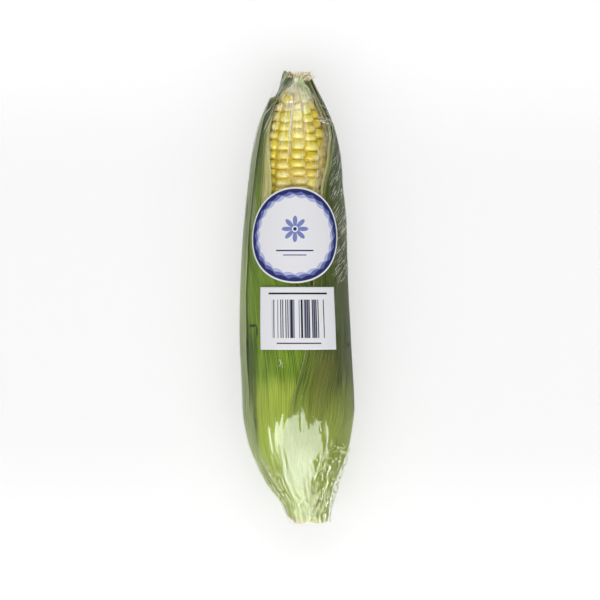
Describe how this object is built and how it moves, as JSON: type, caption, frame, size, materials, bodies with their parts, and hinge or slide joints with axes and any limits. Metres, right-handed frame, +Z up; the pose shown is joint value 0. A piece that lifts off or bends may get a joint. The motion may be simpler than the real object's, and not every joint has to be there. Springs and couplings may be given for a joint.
{
  "type": "wrapped ear of sweet corn",
  "caption": "Ear of sweet corn lying in its trimmed green husk, opened at the tip to show yellow kernels, sealed in clear film with a round and an oblong paper label.",
  "frame": {"origin": "middle of the bounding box's bottom face, on the table under the lying ear", "axes": "+Y from the cut stem to the tip, +Z up out of the opened husk, +X to the ear's right"},
  "size_m": [0.0567, 0.2265, 0.0503],
  "materials": {
    "kernel_skin": "moist, glossy corn kernels in two yellows",
    "green_husk": "fresh fibrous leaf with fine lengthwise veins",
    "pale_husk": "pale, silky inner leaf",
    "cut_stem": "cut pith",
    "dry_silk": "dry brown silk",
    "clear_film": "clear shrink film",
    "label_paper": "semi-gloss white label paper"
  },
  "bodies": {
    "root": {"kernels": "kernel_skin", "husk_right": "green_husk", "husk_side": "green_husk", "husk_left": "green_husk", "husk_inner_left": "pale_husk", "husk_inner_right": "pale_husk", "husk_inner_back": "pale_husk", "stem": "cut_stem", "silk": "dry_silk", "film": "clear_film", "round_label": "label_paper", "oblong_label": "label_paper"}
  },
  "joints": []
}
